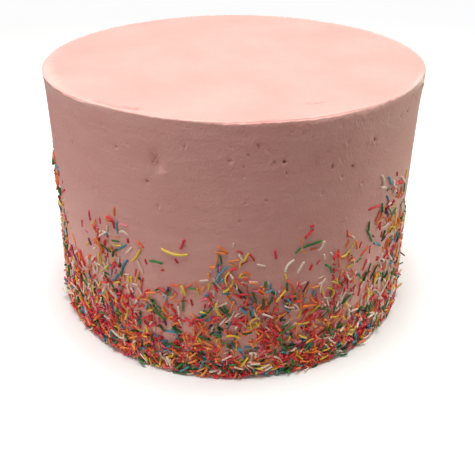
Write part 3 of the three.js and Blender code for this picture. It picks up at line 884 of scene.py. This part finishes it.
def layers(azimuth, height):
    """How many strands deep the side is covered at a place."""
    places, edges = zip(*BAND_EDGE)
    edge = np.interp(azimuth, places, edges, period=360)
    band = np.interp(height / edge, BAND_SHARES, BAND_LAYERS)
    if height > FULL_BELOW:
        band *= np.interp(azimuth, *zip(*BAND_FILL), period=360)
        band *= max(THINNEST, 1 + CLUMPING * drift(azimuth, height, CLUMP, 0))
    behind = np.clip((abs(azimuth) - FRONT_ARC) / BEHIND_FADE + 1, 0, 1)
    clustered = sum(depth * fading(azimuth, height, *place) for *place, depth in CLUSTERS)
    return band + (height > edge) * (clustered + behind * LOOSE_LAYERS * cover(azimuth, height))


def small_strands():
    """The band of small strands, thrown one by one."""
    draw = random.Random(SMALL_SEED)
    most = BAND_LAYERS[0]
    throws = int(360 * MM_PER_DEGREE * HIGHEST_THROW * most / FOOTPRINT)
    strands = []
    for _ in range(throws):
        azimuth = draw.uniform(-180, 180)
        height = draw.uniform(0, HIGHEST_THROW)
        if draw.uniform(0, most) > layers(azimuth, height):
            continue
        kind = pick_kind(draw, azimuth, height)
        length = draw.triangular(*(BROKEN_LENGTHS if kind in BROKEN_KINDS else WHOLE_LENGTHS))
        low = height < POKE_BELOW
        lean = math.radians(draw.uniform(0, 180) if low else draw.gauss(UPRIGHT, LEAN_SPREAD))
        curled = draw.random() < CURLED_SHARE
        bend = length * (draw.choice((-1, 1)) * draw.uniform(*CURLS) if curled
                         else draw.gauss(0, FAINT_BEND))
        thick = draw.uniform(*SMALL_THICKNESS)
        poke = math.radians(draw.uniform(*POKE_ANGLES)) if low and draw.random() < POKE_SHARE else 0
        up = length / 2 * abs(math.sin(lean))
        height = max(height, up + thick)
        across = length / 2 * math.cos(lean) / MM_PER_DEGREE
        up = length / 2 * math.sin(lean)
        strands.append(Strand((azimuth - across, height - up), (azimuth + across, height + up), bend,
                              kind, thick, poke, False))
    return sorted(strands, key=lambda strand: strand.kind not in BROKEN_KINDS and draw.random() < ON_TOP)


def loose_strands():
    """The listed loose strands."""
    draw = random.Random(SMALL_SEED + 1)
    return [Strand((a, z), (b, w), sum(bend), kind, draw.uniform(*SMALL_THICKNESS), 0, True)
            for kind, rows in LOOSE_STRANDS.items() for a, z, b, w, *bend in rows]


# ---------------------------------------------------------------- how the strands rest on each other

CELL = 0.4
STATIONS = np.linspace(-0.5, 0.5, 15)
FINE_STATIONS = np.linspace(-0.5, 0.5, 31)
ACROSS = np.array([-0.45, -0.2, 0.0, 0.2, 0.45])
STEEPEST_REST = 0.5
POKE_RAISE = 0.8


def bow(strand, shares):
    """A strand's line on the unrolled side, at shares of its length from -0.5 to 0.5, with the way across
    it and its length."""
    run, rise, length = span(strand)
    along = np.array([run, rise]) / length
    across = np.array([-rise, run]) / length
    middle = (np.array(strand.start) + strand.end) / 2 * (MM_PER_DEGREE, 1)
    curve = strand.bend * (1 - 4 * shares ** 2)
    return middle + np.outer(shares * length, along) + np.outer(curve, across), across, length


def cells_under(strand, shares, shape):
    """The pile's cells under a strand, in rows across it at shares of its length."""
    line, across, _ = bow(strand, shares)
    spots = line[:, None, :] + ACROSS[None, :, None] * strand.thick * across
    columns, rows = np.moveaxis(np.floor(spots / CELL).astype(int), -1, 0)
    return columns % shape[0], np.clip(rows, 0, shape[1] - 1)


def rest(strand, pile):
    """Lays a strand on the pile, which grows by it: how far its middle stands out, and how it tilts."""
    line, _, length = bow(strand, STATIONS)
    radius = strand.thick / 2
    crown = np.sqrt(radius ** 2 - (ACROSS * strand.thick) ** 2)
    support = (pile[cells_under(strand, STATIONS, pile.shape)] + crown).max(1)
    along = STATIONS * length
    before, after = np.ix_(along < 0, along >= 0)
    rise = (support[after] - support[before]) / (along[after] - along[before])
    at_middle = support[before] - rise * along[before]
    pair = np.unravel_index(at_middle.argmax(), at_middle.shape)
    tilt = float(np.clip(rise[pair], -STEEPEST_REST, STEEPEST_REST))
    out = float((support - tilt * along).max()) if abs(rise[pair]) > STEEPEST_REST else float(at_middle[pair])
    reach = out + abs(tilt) * length / 2 + radius
    if not strand.sticks and reach > np.interp(line[len(line) // 2][1], REACH_HEIGHTS, REACHES):
        return None
    if strand.poke:
        return out + length / 2 * math.sin(strand.poke) * POKE_RAISE, math.sin(strand.poke)
    tops = (out + tilt * FINE_STATIONS * length)[:, None] + crown - PRESSED
    np.maximum.at(pile, cells_under(strand, FINE_STATIONS, pile.shape), tops)
    return out, tilt


# ---------------------------------------------------------------- strand meshes

ROD_LENGTH = 7
ROD_SIDES = 6
ROD_CUTS = 3
ROD_END = 0.22
LOWEST_STRAND = 0.1
SHADES = (-0.5, 0.5)


def make_rod():
    """One straight strand along Z with softened ends: its points and faces."""
    bm = bmesh.new()
    radius = STRAND_DIAMETER / 2
    bmesh.ops.create_cone(bm, cap_ends=True, segments=ROD_SIDES, radius1=radius, radius2=radius,
                          depth=ROD_LENGTH)
    lengthwise = [e for e in bm.edges if abs(e.verts[0].co.z - e.verts[1].co.z) > ROD_LENGTH / 2]
    bmesh.ops.subdivide_edges(bm, edges=lengthwise, cuts=ROD_CUTS)
    tip = ROD_LENGTH / 2 - HAIR
    ends = [e for e in bm.edges if all(abs(v.co.z) > tip for v in e.verts)]
    bmesh.ops.bevel(bm, geom=ends, offset=ROD_END, segments=1, profile=0.5, affect="EDGES", material=-1)
    bmesh.ops.recalc_face_normals(bm, faces=bm.faces)
    bm.verts.index_update()
    points = np.array([v.co for v in bm.verts])
    faces = [[v.index for v in face.verts] for face in bm.faces]
    bm.free()
    return points, faces


def shape_strand(rod, strand, out, tilt):
    """The rod's points bent, tilted and laid at the strand's place on the side."""
    line, across, length = bow(strand, np.array([0.0]))
    share = rod[:, 2] / ROD_LENGTH
    section = strand.thick / STRAND_DIAMETER
    swing = np.arctan(-8 * strand.bend * share / length)
    lean = math.asin(tilt)
    x, y = rod[:, 0] * section, rod[:, 1] * section
    along = share * length * math.cos(lean) - x * np.sin(swing) - y * math.sin(lean)
    sideways = strand.bend * (1 - 4 * share ** 2) + x * np.cos(swing)
    outwards = out + share * length * math.sin(lean) + y * math.cos(lean)
    forward = np.array([across[1], -across[0]])
    middle = line[0] - strand.bend * across
    place = middle + np.outer(along, forward) + np.outer(sideways, across)
    azimuth = place[:, 0] / MM_PER_DEGREE
    height = np.clip(place[:, 1], LOWEST_STRAND, None)
    radius = taper(height) + bulge(azimuth, height) + outwards
    angle = np.radians(azimuth)
    return np.stack([radius * np.sin(angle), -radius * np.cos(angle), height], 1)


def make_strands():
    """All the strands, as one joined piece for each colour."""
    lone, thrown = large_strands()
    shape = (round(360 * MM_PER_DEGREE / CELL), round(HEIGHT / CELL))
    pile = np.full(shape, -STRAND_SUNK * STRAND_DIAMETER)
    rod, faces = make_rod()
    shades = random.Random(SMALL_SEED + 2)
    laid = {kind: [] for kind in STRAND_KINDS}
    for strand in lone + thrown + loose_strands() + small_strands():
        lie = rest(strand, pile)
        if lie:
            laid[strand.kind].append((shape_strand(rod, strand, *lie), shades.uniform(*SHADES)))
    for kind, strands in laid.items():
        shapes, shade = zip(*strands)
        mesh = bpy.data.meshes.new(f"strands_{kind}")
        corners = [[index + step * len(rod) for index in face]
                   for step in range(len(shapes)) for face in faces]
        mesh.from_pydata(np.concatenate(shapes) * MM, [], corners)
        mesh.materials.append(sugar(kind))
        set_values(mesh, "shade", np.repeat(shade, len(rod)))
        add_piece(f"strands_{kind}", mesh)


# ---------------------------------------------------------------- floor and light

# The camera sees the floor as FLOOR_SEEN, and the cake gets the bounced light from it. Lengths are in metres.
BLACK = (0, 0, 0, 1)
FLOOR_SIDE = 8.0
FLOOR_ROUGHNESS = 0.9
FLOOR_SEEN = (0.99, 0.99, 0.99, 1)
NEAR_BOUNCE = (0.9, 0.83, 0.75, 1)
FAR_BOUNCE = (0.3, 0.27, 0.25, 1)
NEAR_EDGE = 0.155
FAR_EDGE = 0.2
BOUNCE_STRETCH = (0.85, 1.2, 1)
FADE_START = 0.4
FADE_END = 0.9
WORLD_LIGHT = 0.16
WORLD_SEEN = 0.98

# Each lamp: its place and width in metres, its power in watts and its colour. All face the cake.
LAMPS = {
    "overhead": ((-0.04, -0.055, 1.5), 0.9, 27.2, (1, 0.985, 0.965)),
    "left_fill": ((-1.53, -0.57, 0.3), 0.9, 6.8, (0.92, 0.97, 1)),
    "right_fill": ((1.5, 0.52, 0.3), 0.9, 12.4, (0.77, 1, 0.86)),
    "back_fill": ((0.2, 1.2, 1.3), 0.9, 1.6, (1, 1, 1)),
}
LAMP_TARGET = Vector((0, 0, 0.09))


def make_floor():
    """A plain pale floor that fades into the backdrop. It throws more light back from near the cake than
    from far away, and most from its two sides."""
    material = bpy.data.materials.new("floor")
    material.use_nodes = True
    tree = material.node_tree
    to_camera = add_node(tree, "ShaderNodeLightPath").outputs["Is Camera Ray"]

    def fade(place, near, far, **settings):
        """How far a place lies from the cake: 0 up to near, and 1 from far on."""
        away = add_node(tree, "ShaderNodeVectorMath", {0: place}, operation="LENGTH").outputs["Value"]
        inputs = {"Value": away, "From Min": near, "From Max": far}
        return add_node(tree, "ShaderNodeMapRange", inputs, **settings).outputs["Result"]

    share = fade(stretched_place(tree, BOUNCE_STRETCH), NEAR_EDGE, FAR_EDGE)
    tone = mix(tree, to_camera, mix(tree, share, NEAR_BOUNCE, FAR_BOUNCE), FLOOR_SEEN)
    gone = fade(place_on_object(tree), FADE_START, FADE_END, interpolation_type="SMOOTHSTEP")
    faded = add_node(tree, "ShaderNodeMath", {0: gone, 1: to_camera}, operation="MULTIPLY").outputs[0]
    feed(tree, tree.nodes["Principled BSDF"], {
        "Specular IOR Level": 0.0, "Roughness": FLOOR_ROUGHNESS, "Base Color": mix(tree, faded, tone, BLACK),
        "Emission Color": mix(tree, faded, BLACK, [WORLD_SEEN] * 3 + [1]), "Emission Strength": 1.0})
    bm = bmesh.new()
    bmesh.ops.create_grid(bm, x_segments=1, y_segments=1, size=FLOOR_SIDE / 2)
    add_object("floor", finished_mesh("floor", bm, material))


def make_lamps():
    """A large soft lamp overhead, and weaker ones round the cake."""
    for name, (place, width, power, colour) in LAMPS.items():
        data = bpy.data.lights.new(name, "AREA")
        data.shape = "DISK"
        data.size = width
        data.energy = power
        data.color = colour
        lamp = add_object(name, data)
        lamp.location = place
        lamp.rotation_euler = (LAMP_TARGET - Vector(place)).to_track_quat("-Z", "Y").to_euler()
    world = bpy.data.worlds.new("studio")
    world.use_nodes = True
    tree = world.node_tree
    strength = add_node(tree, "ShaderNodeMapRange", {
        "Value": add_node(tree, "ShaderNodeLightPath").outputs["Is Camera Ray"],
        "To Min": WORLD_LIGHT, "To Max": WORLD_SEEN})
    feed(tree, tree.nodes["Background"], {"Color": (1, 1, 1, 1), "Strength": strength.outputs["Result"]})
    bpy.context.scene.world = world
    bpy.context.scene.view_settings.view_transform = "Standard"


# ---------------------------------------------------------------- the whole scene

make_camera()
make_icing()
make_strands()
make_floor()
make_lamps()
